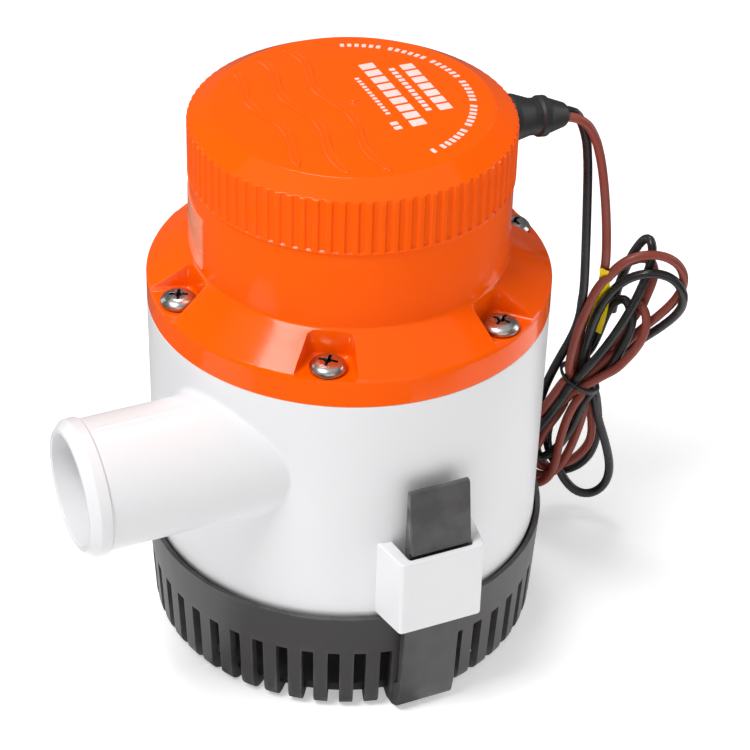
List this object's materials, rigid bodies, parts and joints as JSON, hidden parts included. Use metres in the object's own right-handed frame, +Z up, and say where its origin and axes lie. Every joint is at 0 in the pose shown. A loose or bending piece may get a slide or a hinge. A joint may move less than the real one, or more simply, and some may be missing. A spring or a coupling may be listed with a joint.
{
  "type": "bilge pump",
  "caption": "Submersible bilge pump with slotted snap-off strainer, side hose spigot, screwed motor housing with ribbed cap, and two wire leads tied in a hank.",
  "frame": {"origin": "centre of the strainer's flat underside, on the pump axis", "axes": "+Z up along the pump axis; the hose spigot points along -X; the snap arms are at -Y and +Y; the leads leave towards +X"},
  "size_m": [0.223, 0.145, 0.1839],
  "materials": {
    "white_plastic": "moulded, semi-gloss",
    "orange_plastic": "moulded, gloss",
    "grey_plastic": "moulded, fine matt",
    "stainless": "polished",
    "rubber": "satin",
    "motor_steel": "plated",
    "copper": "enamelled wire and turned copper",
    "ferrite": "sintered",
    "resin": "moulded",
    "label_film": "satin film",
    "brown_insulation": "satin",
    "black_insulation": "satin",
    "yellow_film": "satin"
  },
  "bodies": {
    "strainer": {"strainer_basket": "grey_plastic"},
    "snap_arm_front": {"snap_arm_front": "grey_plastic"},
    "snap_arm_rear": {"snap_arm_rear": "grey_plastic"},
    "pump": {"pump_housing": "white_plastic", "inlet_plate": "white_plastic", "plate_screw_1": "stainless", "plate_screw_2": "stainless", "plate_screw_3": "stainless", "motor_housing": "orange_plastic", "flange_screw_1": "stainless", "flange_screw_2": "stainless", "flange_screw_3": "stainless", "flange_screw_4": "stainless", "flange_screw_5": "stainless", "flange_screw_6": "stainless", "flange_seal": "rubber", "top_cap": "orange_plastic", "cap_seal": "rubber", "cable_boot": "rubber", "rating_label": "label_film", "motor_can": "motor_steel", "end_bell": "resin", "lower_bearing": "motor_steel", "upper_bearing": "motor_steel", "shaft_seal": "rubber", "brush_right": "resin", "brush_left": "resin", "magnet_right": "ferrite", "magnet_left": "ferrite", "brush_lead_brown": "brown_insulation", "brush_lead_black": "black_insulation", "brown_lead": "brown_insulation", "black_lead": "black_insulation", "wire_hank": "black_insulation", "hank_tie": "black_insulation", "wire_tag": "yellow_film"},
    "rotor": {"motor_shaft": "motor_steel", "armature_core": "motor_steel", "armature_winding": "copper", "commutator": "copper", "impeller": "white_plastic", "impeller_nut": "stainless"}
  },
  "joints": [
    {"name": "pump_lift", "type": "slide", "parent": "strainer", "child": "pump", "axis": [0, 0, 1], "range_m": [0, 0.06]},
    {"name": "front_arm_flex", "type": "hinge", "parent": "strainer", "child": "snap_arm_front", "pos_m": [0, -0.065, 0.0095], "axis": [-1, 0, 0], "range_deg": [0, 1.9], "stiffness_Nm_per_rad": 0.6},
    {"name": "rear_arm_flex", "type": "hinge", "parent": "strainer", "child": "snap_arm_rear", "pos_m": [0, 0.065, 0.0095], "axis": [1, 0, 0], "range_deg": [0, 1.9], "stiffness_Nm_per_rad": 0.6},
    {"name": "rotor_spin", "type": "hinge", "parent": "pump", "child": "rotor", "pos_m": [0, 0, 0.1], "axis": [0, 0, 1], "continuous": true}
  ]
}
